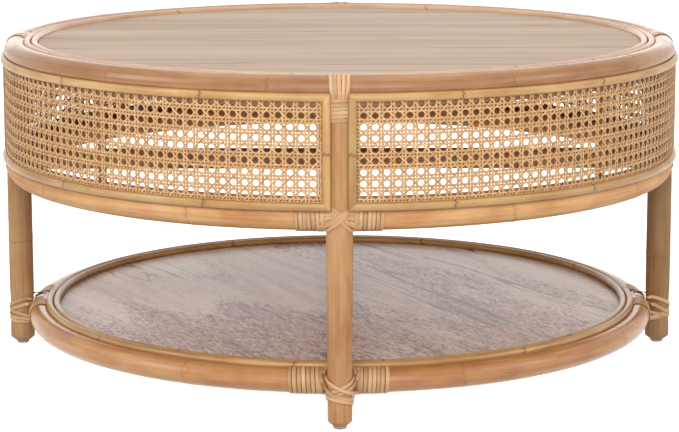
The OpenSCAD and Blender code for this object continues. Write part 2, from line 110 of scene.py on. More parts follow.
class Strands:
    """Swept strands in one mesh

    Every point keeps its place along and across its strand, which the materials read.
    """

    def __init__(self):
        self.points = []
        self.faces = []
        self.sizes = []
        self.grain = []
        self.tone = []
        self.mark = []
        self.count = 0

    def sweep(self, path, normals, section, tone, marks=(), closed=False, shear=(0, 0)):
        """Carries a section along a path. Shear slants the two ends, for mitres."""
        path = np.asarray(path, float)
        if closed:
            tangent = np.roll(path, -1, 0) - np.roll(path, 1, 0)
        else:
            tangent = np.gradient(path, axis=0)
        tangent = unit(tangent)
        normals = np.asarray(normals, float)
        normals = unit(normals - tangent * (normals * tangent).sum(1)[:, None])
        side = np.cross(tangent, normals)
        rows = len(path)
        section = np.broadcast_to(section, (rows,) + np.shape(section)[-2:])
        cols = section.shape[1]
        points = path[:, None] + side[:, None] * section[..., :1] + normals[:, None] * section[..., 1:]
        points[0] += tangent[0] * section[0, :, :1] * shear[0]
        points[-1] += tangent[-1] * section[-1, :, :1] * shear[1]
        along = np.concatenate([[0], np.linalg.norm(np.diff(path, axis=0), axis=1).cumsum()])
        far = np.full(rows, 1000.0)
        for place in marks:
            gap = along - place
            far = np.where(np.abs(gap) < np.abs(far), gap, far)
        grain = np.empty((rows, cols, 3))
        grain[..., 0] = along[:, None] + rng.uniform(0, 5000)
        grain[..., 1:] = section
        turns = rows if closed else rows - 1
        i = np.arange(turns)[:, None]
        j = np.arange(cols)[None, :]
        here = i * cols
        after = (i + 1) % rows * cols
        beside = (j + 1) % cols
        quads = np.stack(np.broadcast_arrays(here + j, after + j, after + beside, here + beside), -1)
        self.faces.append(quads.reshape(-1) + self.count)
        self.sizes.append(np.full(turns * cols, 4))
        if not closed:
            last = (rows - 1) * cols
            self.faces.append(np.arange(cols) + self.count)
            self.faces.append(last + np.arange(cols)[::-1] + self.count)
            self.sizes.append(np.array([cols, cols]))
        self.points.append(points.reshape(-1, 3))
        self.grain.append(grain.reshape(-1, 3))
        self.tone.append(np.repeat(np.broadcast_to(tone, rows), cols))
        self.mark.append(np.repeat(far, cols))
        self.count += rows * cols

    def piece(self, name, nodes, material, sharp=40):
        """Makes the mesh, in place of the CAD nodes. Edges sharper than this angle stay crisp."""
        points = np.concatenate(self.points) * MM
        loops = np.concatenate(self.faces).astype(np.int32)
        sizes = np.concatenate(self.sizes).astype(np.int32)
        mesh = bpy.data.meshes.new(name)
        mesh.vertices.add(len(points))
        mesh.vertices.foreach_set("co", points.astype(np.float32).ravel())
        mesh.loops.add(len(loops))
        mesh.loops.foreach_set("vertex_index", loops)
        mesh.polygons.add(len(sizes))
        starts = np.concatenate([[0], sizes.cumsum()[:-1]]).astype(np.int32)
        mesh.polygons.foreach_set("loop_start", starts)
        mesh.polygons.foreach_set("loop_total", sizes)
        for key, kind, field, values in (
            ("grain", "FLOAT_VECTOR", "vector", self.grain),
            ("tone", "FLOAT", "value", self.tone),
            ("mark", "FLOAT", "value", self.mark),
        ):
            attribute = mesh.attributes.new(key, kind, "POINT")
            attribute.data.foreach_set(field, np.concatenate(values).astype(np.float32).ravel())
        mesh.update(calc_edges=True)
        mesh.validate()
        mesh.shade_smooth()
        mesh.set_sharp_from_angle(angle=math.radians(sharp))
        mesh.materials.append(material)
        obj = bpy.data.objects.new(name, mesh)
        bpy.context.scene.collection.objects.link(obj)
        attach(obj, "root")
        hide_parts(*nodes)


def unit(v):
    return v / np.maximum(np.linalg.norm(v, axis=-1, keepdims=True), 1e-9)


def on_circle(radius, azimuth, z):
    """Points at azimuths in degrees round the table's axis"""
    a = np.radians(np.asarray(azimuth, float))
    radius, z, a = np.broadcast_arrays(np.asarray(radius, float), np.asarray(z, float), a)
    return np.stack([radius * np.cos(a), radius * np.sin(a), z], -1)


def round_section(radius, sides):
    a = np.arange(sides) * 2 * math.pi / sides
    return np.stack([np.cos(a), np.sin(a)], -1) * radius


def half_round_section(width, height, sides=12):
    """Flat back on the seat and a crowned front"""
    a = np.linspace(0, math.pi, sides)
    x = np.cos(a)
    y = np.sin(a)
    crown = np.stack([np.sign(x) * np.abs(x) ** 0.88 * width / 2, y ** 0.88 * (height - 0.6) + 0.6], -1)
    return np.concatenate([[[-width / 2, 0], [width / 2, 0]], crown])


def peel_section(width, height):
    """Flat strand with rounded shoulders, centred on its path"""
    w = width / 2
    h = height / 2
    return np.array([
        (-w * 0.86, -h), (w * 0.86, -h), (w, -h * 0.3), (w * 0.9, h * 0.45),
        (w * 0.45, h), (-w * 0.45, h), (-w * 0.9, h * 0.45), (-w, -h * 0.3),
    ])


def wander(along, size, reach):
    """Smooth irregularity of a natural pole along its length"""
    total = np.zeros(len(along))
    for k in (1, 2.3, 4.1):
        total += np.sin(along / reach * k * 2 * math.pi + rng.uniform(0, 6.3)) / k
    return total * size / 2


def pole(strands, path, normals, radius, marks, tone, sides=28, rough=0.12, ease=True):
    """A rattan pole: nearly round, with a small swelling at every node"""
    path = np.asarray(path, float)
    along = np.concatenate([[0], np.linalg.norm(np.diff(path, axis=0), axis=1).cumsum()])
    r = np.broadcast_to(radius, len(path)) - rough + wander(along, rough, POLE_WAVE)
    for place in marks:
        gap = along - place
        r = r + NODE_SWELL * np.exp(-((gap - 3) / 5) ** 2) - NODE_GROOVE * np.exp(-(gap / 1.3) ** 2)
    if ease:
        edge = np.minimum(along, along[-1] - along)
        r = r * (1 - END_SHARE * np.clip(1 - edge / END_LENGTH, 0, 1) ** 2)
    section = round_section(1, sides)[None] * r[:, None, None]
    strands.sweep(path, normals, section, tone=tone, marks=marks)


def stations(length, step, marks, ends=True):
    """Distances along a strand, closer together at its ends and nodes"""
    places = list(np.linspace(0, length, max(int(length / step), 2) + 1))
    if ends:
        places += [END_LENGTH / 2, END_LENGTH, length - END_LENGTH, length - END_LENGTH / 2]
    for m in marks:
        places += [m + step for step in NODE_STEPS]
    places = np.unique(np.round([p for p in places if 0 <= p <= length], 2))
    keep = np.concatenate([[True], np.diff(places) > LEAST_STEP])
    keep[-1] = True
    return places[keep]


def arc_pole(strands, radius, z, start, stop, tube, marks, tone):
    """A bent pole from one azimuth to another. Marks are azimuths."""
    length = math.radians(stop - start) * radius
    places = [math.radians(m - start) * radius for m in marks if start < m < stop]
    s = stations(length, 7, places)
    azimuth = start + np.degrees(s / radius)
    up = np.tile([0, 0, 1.0], (len(s), 1))
    pole(strands, on_circle(radius, azimuth, z), up, tube, places, tone)


def straight_pole(strands, a, b, radius, marks, tone, sides=28, normal=(0, 0, 1), rough=0.12):
    """A straight pole whose ends are hidden in others"""
    a = np.array(a, float)
    b = np.array(b, float)
    length = np.linalg.norm(b - a)
    s = stations(length, 9, marks, ends=False)
    path = a + (b - a) * (s / length)[:, None]
    normals = np.tile(np.array(normal, float), (len(s), 1))
    pole(strands, path, normals, radius, marks, tone, sides, rough, ease=False)


# ---- materials ----

def srgb(r, g, b):
    values = [c / 255 for c in (r, g, b)]
    return tuple([c / 12.92 if c < 0.04045 else ((c + 0.055) / 1.055) ** 2.4 for c in values] + [1.0])


class Shader:
    """Shorthand for a Principled material made of nodes"""

    def __init__(self, name):
        self.material = bpy.data.materials.new(name)
        self.material.use_nodes = True
        self.tree = self.material.node_tree
        self.bsdf = self.tree.nodes["Principled BSDF"]

    def node(self, kind, inputs, **settings):
        node = self.tree.nodes.new("ShaderNode" + kind)
        for key, value in settings.items():
            setattr(node, key, value)
        for key, value in inputs.items():
            self.set(node.inputs[key], value)
        return node

    def set(self, socket, value):
        if isinstance(value, bpy.types.NodeSocket):
            self.tree.links.new(value, socket)
        else:
            socket.default_value = value

    def surface(self, **inputs):
        for key, value in inputs.items():
            self.set(self.bsdf.inputs[key.replace("_", " ")], value)

    def attribute(self, name, output="Vector"):
        return self.node("Attribute", {}, attribute_name=name).outputs[output]

    def place(self):
        return self.node("TexCoord", {}).outputs["Object"]

    def math(self, operation, *values):
        return self.node("Math", dict(enumerate(values)), operation=operation).outputs[0]

    def scaled(self, vector, scale, turn=0):
        turned = vector
        if turn:
            turned = self.node("VectorRotate", {0: vector, "Angle": math.radians(turn)}).outputs[0]
        return self.node("VectorMath", {0: turned, 1: scale}, operation="MULTIPLY").outputs[0]

    def noise(self, vector, scale=1.0, detail=2.0, rough=0.5, warp=0.0):
        inputs = {"Vector": vector, "Scale": scale, "Detail": detail, "Roughness": rough, "Distortion": warp}
        return self.node("TexNoise", inputs).outputs[0]

    def between(self, value, low, high, new_low=0.0, new_high=1.0):
        inputs = {0: value, 1: low, 2: high, 3: new_low, 4: new_high}
        return self.node("MapRange", inputs, interpolation_type="SMOOTHSTEP").outputs[0]

    def ramp(self, value, stops):
        node = self.node("ValToRGB", {0: value})
        elements = node.color_ramp.elements
        while len(elements) < len(stops):
            elements.new(0.5)
        for element, (place, colour) in zip(elements, stops):
            element.position = place
            element.color = srgb(*colour)
        return node.outputs[0]

    def mix(self, share, a, b, blend="MIX"):
        node = self.tree.nodes.new("ShaderNodeMix")
        node.data_type = "RGBA"
        node.blend_type = blend
        self.set(node.inputs[0], share)
        self.set(node.inputs[6], a)
        self.set(node.inputs[7], b)
        return node.outputs[2]

    def weighted(self, *pairs):
        """Sum of values, each multiplied by its share"""
        parts = [self.math("MULTIPLY", value, share) for value, share in pairs]
        total = parts[0]
        for part in parts[1:]:
            total = self.math("ADD", total, part)
        return total

    def veins(self, value, strength):
        """Thin lines where a noise passes through its middle value"""
        off = self.math("ABSOLUTE", self.math("SUBTRACT", value, 0.5))
        return self.between(off, 0.0, 0.016, strength, 0.0)

    def grey(self, value):
        return self.node("CombineColor", {0: value, 1: value, 2: value}).outputs[0]

    def bump(self, height, strength, distance):
        return self.node("Bump", {"Height": height, "Strength": strength, "Distance": distance}).outputs[0]


def rattan(name, stops, node_colour, stain_and_edge_shade, tone_reach, mark_depth, rough, coat, fleck=0.0, edge=None,
           wave=(0.12, 5.0), shine=0.5):
    """Rattan with streaks along it, dark jagged nodes, and a shade that changes from strand to strand

    Edge is where a darker rim starts and ends across a strand, and its strength; the rim is painted shade
    along the strand's sides.
    Wave is the fineness and reach of the jags at a node.
    """
    m = Shader(name)
    grain = m.attribute("grain")
    tone = m.attribute("tone", "Fac")
    mark = m.attribute("mark", "Fac")
    fibre = m.noise(m.scaled(grain, (0.02, 1.5, 1.5)), 1.0, 3.0, 0.6)
    streak = m.noise(m.scaled(grain, (0.006, 0.2, 0.2)), 1.0, 2.0, 0.5)
    cloud = m.noise(m.scaled(grain, (0.012, 0.03, 0.03)), 1.0, 3.0, 0.6)
    blend = m.weighted((fibre, 0.2), (streak, 0.3), (cloud, 0.5))
    colour = m.ramp(m.between(blend, 0.32, 0.68), stops)
    shade = m.math("MULTIPLY_ADD", tone, tone_reach, 1 - tone_reach / 2)
    colour = m.mix(1.0, colour, m.grey(shade), "MULTIPLY")
    if fleck:
        spot = m.noise(m.scaled(grain, (0.16, 0.55, 0.55)), 1.0, 2.0, 0.6)
        colour = m.mix(m.math("MULTIPLY", m.between(spot, 0.63, 0.72), fleck), colour, stain_and_edge_shade)
    # Painted shade: each strand darkens towards both its sides, in the stain colour
    if edge:
        across = m.node("SeparateXYZ", {0: grain}).outputs[1]
        edge_shade = m.between(m.math("ABSOLUTE", across), edge[0], edge[1])
        colour = m.mix(m.math("MULTIPLY", edge_shade, edge[2]), colour, stain_and_edge_shade)
    jag = m.noise(m.scaled(grain, (0.0, wave[0], wave[0])), 1.0, 2.0, 0.6)
    gap = m.math("ABSOLUTE", m.math("ADD", mark, m.math("MULTIPLY_ADD", jag, wave[1] * 2, -wave[1])))
    halo = m.between(gap, 0.5, 5.0, 0.35 * mark_depth, 0.0)
    line = m.between(gap, 0.25, 0.95, mark_depth, 0.0)
    colour = m.mix(halo, colour, stain_and_edge_shade)
    colour = m.mix(line, colour, node_colour)
    height = m.math("SUBTRACT", m.math("MULTIPLY", fibre, 0.5), m.math("MULTIPLY", line, 1.2))
    m.surface(Base_Color=colour, Roughness=m.math("MULTIPLY_ADD", fibre, 0.18, rough))
    m.surface(Normal=m.bump(height, 0.25, 0.0002), Coat_Weight=coat, Coat_Roughness=0.24)
    m.surface(Specular_IOR_Level=shine)
    return m.material


POLE = rattan(
    "rattan_pole",
    [(0.0, (182, 126, 82)), (0.35, (203, 152, 103)), (0.7, (214, 168, 119)), (1.0, (223, 182, 135))],
    node_colour=srgb(128, 78, 44), stain_and_edge_shade=srgb(160, 100, 58),
    tone_reach=0.5, mark_depth=0.3, rough=0.5, coat=0.03, fleck=0.2, shine=0.2,
)
GLOSSY_POLE = rattan(
    "glossy_pole",
    [(0.0, (156, 100, 56)), (0.35, (174, 119, 70)), (0.7, (186, 134, 84)), (1.0, (196, 149, 99))],
    node_colour=srgb(104, 60, 32), stain_and_edge_shade=srgb(138, 82, 44),
    tone_reach=0.5, mark_depth=0.26, rough=0.45, coat=0.85, fleck=0.2, shine=0.15,
)
SPLIT = rattan(
    "split_rattan",
    [(0.0, (184, 132, 72)), (0.3, (204, 155, 92)), (0.7, (219, 176, 113)), (1.0, (232, 196, 138))],
    node_colour=srgb(80, 44, 22), stain_and_edge_shade=srgb(146, 92, 44),
    tone_reach=0.12, mark_depth=0.95, rough=0.38, coat=0.3, fleck=0.35,
    edge=(3.4, 5.3, 0.55), wave=(0.2, 8.0),
)
PALE_STRIP = rattan(
    "pale_strip",
    [(0.0, (190, 144, 104)), (0.4, (206, 162, 124)), (0.7, (214, 174, 138)), (1.0, (224, 188, 154))],
    node_colour=srgb(110, 66, 40), stain_and_edge_shade=srgb(150, 98, 62),
    tone_reach=0.06, mark_depth=0.8, rough=0.4, coat=0.5, fleck=0.2, edge=(3.6, 5.2, 0.5), wave=(0.2, 6.0),
)
ROD = rattan(
    "shelf_rod",
    [(0.0, (170, 122, 70)), (0.4, (192, 144, 86)), (0.7, (206, 160, 102)), (1.0, (220, 178, 122))],
    node_colour=srgb(70, 38, 20), stain_and_edge_shade=srgb(130, 82, 42),
    tone_reach=0.08, mark_depth=0.95, rough=0.36, coat=0.45, fleck=0.3, wave=(0.2, 6.0),
)
PEEL = rattan(
    "rattan_peel",
    [(0.0, (188, 136, 86)), (0.35, (208, 160, 110)), (0.7, (221, 178, 130)), (1.0, (233, 197, 152))],
    node_colour=srgb(104, 62, 34), stain_and_edge_shade=srgb(116, 68, 36),
    tone_reach=0.3, mark_depth=0.6, rough=0.42, coat=0.25, fleck=0.25, edge=(1.75, 2.65, 0.8),
)
CANE = rattan(
    "cane_webbing",
    [(0.0, (204, 146, 88)), (0.35, (228, 176, 116)), (0.7, (240, 197, 140)), (1.0, (250, 216, 166))],
    node_colour=srgb(120, 76, 44), stain_and_edge_shade=srgb(140, 86, 46),
    tone_reach=0.26, mark_depth=0.4, rough=0.45, coat=0.15, fleck=0.35, edge=(0.62, 1.05, 0.7),
)


def top_wood():
    """Pale limed wood with fine straight grain along X and a few thin brown veins"""
    m = Shader("top_wood")
    place = m.place()
    fine = m.noise(m.scaled(place, (7, 520, 60)), 1.0, 4.0, 0.65)
    lines = m.noise(m.scaled(place, (2.2, 120, 30)), 1.0, 3.0, 0.6, 0.3)
    bands = m.noise(m.scaled(place, (1.0, 16, 10)), 1.0, 3.0, 0.55, 0.6)
    blend = m.weighted((fine, 0.26), (lines, 0.34), (bands, 0.40))
    stops = [(0.0, (168, 138, 112)), (0.4, (188, 160, 134)), (0.7, (197, 171, 146)), (1.0, (206, 183, 160))]
    colour = m.ramp(m.between(blend, 0.34, 0.66), stops)
    thin = m.veins(m.noise(m.scaled(place, (0.9, 46, 20)), 1.0, 2.0, 0.5, 0.5), 0.8)
    patch = m.between(m.noise(m.scaled(place, (2.4, 9, 10)), 1.0, 2.0), 0.42, 0.54)
    colour = m.mix(m.math("MULTIPLY", thin, patch), colour, srgb(124, 80, 56))
    # The underside is painted brown: painted shade, so the inside seen through the cane looks shaded
    height = m.node("SeparateXYZ", {0: place}).outputs[2]
    underside_shade = m.between(height, TOP_FACE - 0.004, TOP_FACE - 0.002, 1.0, 0.0)
    colour = m.mix(underside_shade, colour, srgb(150, 86, 50))
    m.surface(Base_Color=colour, Roughness=m.math("MULTIPLY_ADD", fine, 0.2, 0.46))
    m.surface(Normal=m.bump(fine, 0.2, 0.0002))
    return m.material


def shelf_wood():
    """Limed wood with slanting grain, thin dark lines, and reddish patches that show dark pores"""
    m = Shader("shelf_wood")
    place = m.place()
    # The grain lies at this angle to X, in degrees
    turn = 61
    fine = m.noise(m.scaled(place, (60, 380, 60), turn), 1.0, 3.0, 0.7, 0.4)
    lines = m.noise(m.scaled(place, (3.0, 60, 30), turn), 1.0, 4.0, 0.6, 1.0)
    bands = m.noise(m.scaled(place, (1.3, 8, 10), turn), 1.0, 3.0, 0.55, 1.0)
    blend = m.weighted((fine, 0.35), (lines, 0.20), (bands, 0.45))
    stops = [(0.0, (200, 162, 138)), (0.3, (227, 202, 184)), (0.65, (241, 223, 208)), (1.0, (248, 236, 225))]
    colour = m.ramp(m.between(blend, 0.36, 0.62), stops)
    # Red patches are denser towards the front
    depth = m.node("SeparateXYZ", {0: place}).outputs[1]
    near = m.between(depth, -0.38, 0.2, 0.23, 0.0)
    patch = m.math("ADD", m.noise(m.scaled(place, (1.7, 9, 10), turn), 1.0, 4.0, 0.6, 1.2), near)
    red = m.between(patch, 0.54, 0.74)
    share = m.math("MULTIPLY", red, m.between(fine, 0.60, 0.40, 0.2, 0.85))
    colour = m.mix(share, colour, srgb(176, 104, 70))
    pore = m.noise(m.scaled(place, (85, 400, 60), turn), 1.0, 3.0, 0.7, 0.5)
    dark = m.math("MULTIPLY", m.between(pore, 0.50, 0.60), m.between(patch, 0.48, 0.66, 0.08, 1.0))
    colour = m.mix(dark, colour, srgb(110, 46, 24))
    thin = m.veins(m.noise(m.scaled(place, (1.2, 18, 20), turn), 1.0, 3.0, 0.5, 0.9), 0.85)
    stretch = m.between(m.noise(m.scaled(place, (2.6, 7, 10), turn), 1.0, 2.0), 0.46, 0.56)
    colour = m.mix(m.math("MULTIPLY", thin, stretch), colour, srgb(90, 48, 34))
    m.surface(Base_Color=colour, Roughness=m.math("MULTIPLY_ADD", fine, 0.25, 0.45), Specular_IOR_Level=0.25)
    m.surface(Normal=m.bump(fine, 0.6, 0.0004), Coat_Weight=0.4, Coat_Roughness=0.26)
    return m.material


def hidden_wood():
    """Plain wood with grain along Y, for battens and dowels"""
    m = Shader("hidden_wood")
    place = m.place()
    fine = m.noise(m.scaled(place, (400, 12, 90)), 1.0, 4.0, 0.6)
    bands = m.noise(m.scaled(place, (40, 2, 20)), 1.0, 2.0, 0.5)
    blend = m.weighted((fine, 0.5), (bands, 0.5))
    stops = [(0.0, (168, 126, 88)), (0.5, (198, 160, 120)), (1.0, (216, 182, 142))]
    colour = m.ramp(m.between(blend, 0.36, 0.64), stops)
    m.surface(Base_Color=colour, Roughness=0.62, Normal=m.bump(fine, 0.3, 0.0003))
    return m.material


def glide_plastic():
    m = Shader("glide_plastic")
    speck = m.noise(m.place(), 900.0, 2.0, 0.5)
    colour = m.ramp(speck, [(0.3, (150, 148, 142)), (0.7, (172, 170, 163))])
    m.surface(Base_Color=colour, Roughness=0.5, Normal=m.bump(speck, 0.1, 0.0001))
    return m.material


def screw_steel():
    m = Shader("screw_steel")
    brushed = m.noise(m.scaled(m.place(), (300, 300, 2500)), 1.0, 2.0, 0.5)
    colour = m.ramp(brushed, [(0.3, (150, 148, 144)), (0.7, (186, 184, 178))])
    m.surface(Base_Color=colour, Metallic=1.0, Roughness=m.math("MULTIPLY_ADD", brushed, 0.2, 0.25))
    return m.material


def dress(material, *nodes):
    """Gives CAD nodes that stay in view their finished material"""
    for node in nodes:
        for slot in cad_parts[node].material_slots:
            slot.material = material


BATTENS = ("top_batten_left", "top_batten_right", "shelf_batten_left", "shelf_batten_right")
dress(top_wood(), "top_panel")
dress(shelf_wood(), "shelf_panel")
dress(hidden_wood(), *BATTENS, "dowels")
dress(glide_plastic(), "glides")
dress(screw_steel(), "batten_screws", "leg_screws")


# ---- poles ----

# Half the open seam between two lengths of a ring, in degrees
HALF_SEAM = 0.02
# How far poles run into the ones that hold them
APRON_RUN_IN = 4
CROSS_RUN_IN = 3
SHORT_RUN_IN = 2
SPINDLE_RUN_IN = 3


def bent_ring(node, radius, z, start, stop, marks, tone):
    """One length of a ring, from seam to seam. The seams and the nodes are azimuths."""
    strands = Strands()
    arc_pole(strands, radius, z, start + HALF_SEAM, stop - HALF_SEAM, TUBE, marks, tone)
    strands.piece(node + "_pole", [node], GLOSSY_POLE)


bent_ring("top_ring_front", FRAME_R, TOP_Z, 173.5, 326, (196, 231, 259, 297.5), 0.35)
bent_ring("top_ring_right", FRAME_R, TOP_Z, -34, 6.5, (-11,), 0.55)
bent_ring("top_ring_back", FRAME_R, TOP_Z, 6.5, 173.5, (33, 71, 103, 142), 0.5)
bent_ring("shelf_ring_back", SHELF_R, SHELF_Z, 4, 184, (31, 66, 99, 141, 168), 0.85)
bent_ring("shelf_ring_front", SHELF_R, SHELF_Z, 184, 364, (205, 243, 291, 331), 1.05)

APRON_MARKS = {
    "front_right": (298, 327), "back_right": (22, 61), "back_left": (118, 150), "front_left": (214, 246),
}
LEG_HALF_ANGLE = math.degrees((LEG_TUBE - APRON_RUN_IN) / FRAME_R)
for quadrant, start in QUADRANTS.items():
    ring = Strands()
    arc_pole(ring, FRAME_R, APRON_Z, start + LEG_HALF_ANGLE, start + 90 - LEG_HALF_ANGLE, TUBE,
             APRON_MARKS[quadrant], rng.uniform(0.95, 1.15))
    ring.piece("apron_ring_" + quadrant + "_pole", ["apron_ring_" + quadrant], POLE)

# Nodes and radii of the legs, by height above the foot
LEG_MARKS = {"front": (245,), "right": (115, 269), "back": (89, 237), "left": (138, 297)}
LEG_STATIONS = (0, 67, 117, 222, 250)
LEG_WIDTHS = {
    "front": (14.6, 14.75, 15.1, 16.1, 15.5), "right": (16.1, 16.3, 16.4, 16.4, 15.5),
    "back": (15.2, 15.2, 15.3, 15.9, 15.5), "left": (16.2, 16.4, 16.3, 16.4, 15.5),
}
LEG_TONES = {"front": 0.45, "right": -0.3, "back": 0.45, "left": 0.15}
# Largest radius under the shelf bindings, and the heights between which it holds
LASHED_TUBE = 15.5
LASHED_HEIGHTS = (20, 32, 58, 70)
# Heights and scale of the chamfer at the foot
CHAMFER_HEIGHTS = (0, 4.2, 5.2, 6.2)
CHAMFER_SCALES = (0.60, 0.93, 0.985, 1.0)
# The legs end inside the top ring
LEG_TOP = TOP_Z - 11
for leg, azimuth in LEGS.items():
    strands = Strands()
    outward = on_circle(1, azimuth, 0)
    foot = outward * LEG_R
    foot[2] = LEG_FOOT
    s = stations(LEG_TOP - LEG_FOOT, 9, LEG_MARKS[leg], ends=False)
    s = np.unique(np.concatenate([s, (1.2, 2.6), CHAMFER_HEIGHTS[1:]]))
    path = foot + np.array([0, 0, 1.0]) * s[:, None]
    width = np.interp(s, LEG_STATIONS, LEG_WIDTHS[leg])
    waist = np.interp(s, LASHED_HEIGHTS, (0, 1, 1, 0))
    width = width - np.maximum(width - LASHED_TUBE, 0) * waist
    width = width * np.interp(s, CHAMFER_HEIGHTS, CHAMFER_SCALES)
    normals = np.tile(outward, (len(s), 1))
    pole(strands, path, normals, width, LEG_MARKS[leg], LEG_TONES[leg], 32, 0.08, ease=False)
    strands.piece("leg_" + leg + "_pole", ["leg_" + leg], POLE)

inner = LEG_R - LEG_TUBE + CROSS_RUN_IN
strands = Strands()
straight_pole(strands, (-inner, 0, CROSS_Z), (inner, 0, CROSS_Z), CROSS_TUBE, (190, 452, 660), 0.45)
strands.piece("cross_pole_long_pole", ["cross_pole_long"], POLE)
for side, sign in (("front", -1), ("back", 1)):
    strands = Strands()
    near = CROSS_TUBE - SHORT_RUN_IN
    straight_pole(strands, (0, sign * near, CROSS_Z), (0, sign * inner, CROSS_Z), SHORT_TUBE, (170,), 0.5)
    strands.piece("cross_pole_" + side + "_pole", ["cross_pole_" + side], POLE)

SPINDLE_TUBE = 5.25
# Azimuth of a spindle from the start of its quadrant
SPINDLE_TURN = 48
strands = Strands()
for start in QUADRANTS.values():
    base = on_circle(FRAME_R, start + SPINDLE_TURN, 0)
    bottom = base + np.array([0, 0, APRON_Z + TUBE - SPINDLE_RUN_IN])
    top = base + np.array([0, 0, TOP_Z - TUBE + SPINDLE_RUN_IN])
    shade = rng.uniform(0.4, 0.7)
    straight_pole(strands, bottom, top, SPINDLE_TUBE, (62,), shade, 16, unit(base), 0.1)
strands.piece("spindle_poles", ["spindles"], POLE)


# ---- split rattan: trims round the cane, strips round the top and rods round the shelf ----

TRIM_SECTION = half_round_section(TRIM_W, 4.75)
TOP_TRIM_MARKS = {
    "front_right": (288.7, 315.3, 343), "back_right": (17, 44, 70),
    "back_left": (109, 137, 163), "front_left": (196, 221.1, 248.6),
}
BOTTOM_TRIM_MARKS = {
    "front_right": (287.6, 313.5, 341), "back_right": (21, 47, 72),
    "back_left": (112, 134, 160), "front_left": (194, 221, 249),
}
# Arc from a leg's axis to the middle of its side trims
SIDE_TRIM_MID = (9.85 + 20.35) / 2
# No points are put this near to the end of a trim, so that its mitre stays flat
MITRE = 6


def mitred_stations(length, step, places):
    s = stations(length, step, places, ends=False)
    return s[(s < 0.1) | ((s > MITRE) & (s < length - MITRE)) | (s > length - 0.1)]


def arc_trim(node, start, z, marks, shear, tone):
    """An upper or lower trim of a cane panel, mitred at both ends"""
    strands = Strands()
    inset = math.degrees(SIDE_TRIM_MID / SKIN_R)
    first, last = start + inset, start + 90 - inset
    length = math.radians(last - first) * SKIN_R
    places = [math.radians(m - first) * SKIN_R for m in marks]
    s = mitred_stations(length, 7.5, places)
    azimuth = first + np.degrees(s / SKIN_R)
    path = on_circle(SKIN_R, azimuth, z)
    section = swollen(TRIM_SECTION, s, places)
    strands.sweep(path, on_circle(1, azimuth, 0), section, tone, places, shear=shear)
    strands.piece(node + "_split", [node], SPLIT)


def swollen(section, s, places):
    """Split rattan dips on one side of a node and swells on the other"""
    height = 0.985 + wander(s, 0.008, SPLIT_WAVE)
    for place in places:
        gap = s - place
        height = height + 0.02 * np.exp(-((gap - 3) / 3) ** 2) - 0.05 * np.exp(-(gap / 1.2) ** 2)
    height = np.minimum(height, 1.0)
    rows = np.repeat(section[None], len(s), 0)
    rows[..., 1] *= height[:, None]
    return rows


for quadrant, start in QUADRANTS.items():
    tone = rng.uniform(0.3, 0.8)
    arc_trim("top_trim_" + quadrant, start, TOP_TRIM_Z, TOP_TRIM_MARKS[quadrant], (1, -1), tone)
    tone = rng.uniform(-0.7, -0.3)
    arc_trim("bottom_trim_" + quadrant, start, BOTTOM_TRIM_Z, BOTTOM_TRIM_MARKS[quadrant], (-1, 1), tone)

SIDE_MARKS = {"front": (62, 61), "right": (44, 80), "back": (71, 38), "left": (55, 90)}
# The trim on the anticlockwise side of each leg is the darker one
SIDE_TONES = (0.8, -1.3)
for leg, azimuth in LEGS.items():
    strands = Strands()
    for sign, mark, tone in zip((-1, 1), SIDE_MARKS[leg], SIDE_TONES):
        turn = azimuth + sign * math.degrees(SIDE_TRIM_MID / SKIN_R)
        length = TOP_TRIM_Z - BOTTOM_TRIM_Z
        s = mitred_stations(length, 9, (mark,))
        path = on_circle(SKIN_R, turn, BOTTOM_TRIM_Z + s)
        out = np.tile(on_circle(1, turn, 0), (len(s), 1))
        section = swollen(TRIM_SECTION, s, (mark,))
        strands.sweep(path, out, section, tone, (mark,), shear=(sign, -sign))
    strands.piece("side_trims_" + leg + "_split", ["side_trims_" + leg], SPLIT)


TOP_STRIP_W = span("top_strip_outer")[1][0] - span("top_strip_inner")[1][0]
SHELF_ROD_W = span("shelf_strip_outer")[1][0] - span("shelf_strip_inner")[1][0]


def edge_ring(node, width, marks, flat, material):
    """A closed strip or rod that lies on the rebate of a panel. Marks are azimuths."""
    low, high = span(node)
    height = high[2] - low[2]
    middle = high[0] - width / 2
    places = np.radians(marks) * middle
    close = [p + step for p in places for step in NODE_STEPS[1:-1]]
    s = np.unique(np.concatenate([np.radians(np.arange(0, 360, 1.0)) * middle, close]))
    azimuth = np.degrees(s / middle)
    up = np.tile([0, 0, 1.0], (len(s), 1))
    if flat:
        section = half_round_section(width - 0.25, height, 14)
    else:
        section = round_section(1, 16) * [(width - 0.2) / 2, height / 2] + [0, height / 2]
    strands = Strands()
    path = on_circle(middle, azimuth, low[2])
    strands.sweep(path, up, swollen(section, s, places), 0.5, places, closed=True)
    strands.piece(node + "_split", [node], material)


edge_ring("top_strip_outer", TOP_STRIP_W, (38, 97, 152, 209, 262, 318), True, PALE_STRIP)
edge_ring("top_strip_inner", TOP_STRIP_W, (12, 71, 126, 187, 236, 301), True, PALE_STRIP)
edge_ring("shelf_strip_outer", SHELF_ROD_W, (220, 261.9, 304.8, 3.1, 50, 92, 139, 178), False, ROD)
edge_ring("shelf_strip_inner", SHELF_ROD_W, (238.8, 277.6, 318.4, 27.4, 71, 115, 160, 200), False, ROD)


# ---- cane webbing ----

# Distances between openings, round the apron and up it
PITCH_X = 13.55
PITCH_Z = 13.35
# The two strands of a pair lie this far from its middle, as a share of the pitch
PAIR = 0.146
CANE_W = 2.4
CANE_R = SKIN_R - 1.25
CANE_SECTION = np.array([
    (-CANE_W / 2, -0.22), (CANE_W / 2, -0.22), (CANE_W / 2, 0.06),
    (CANE_W * 0.26, 0.34), (-CANE_W * 0.26, 0.34), (-CANE_W / 2, 0.06),
])
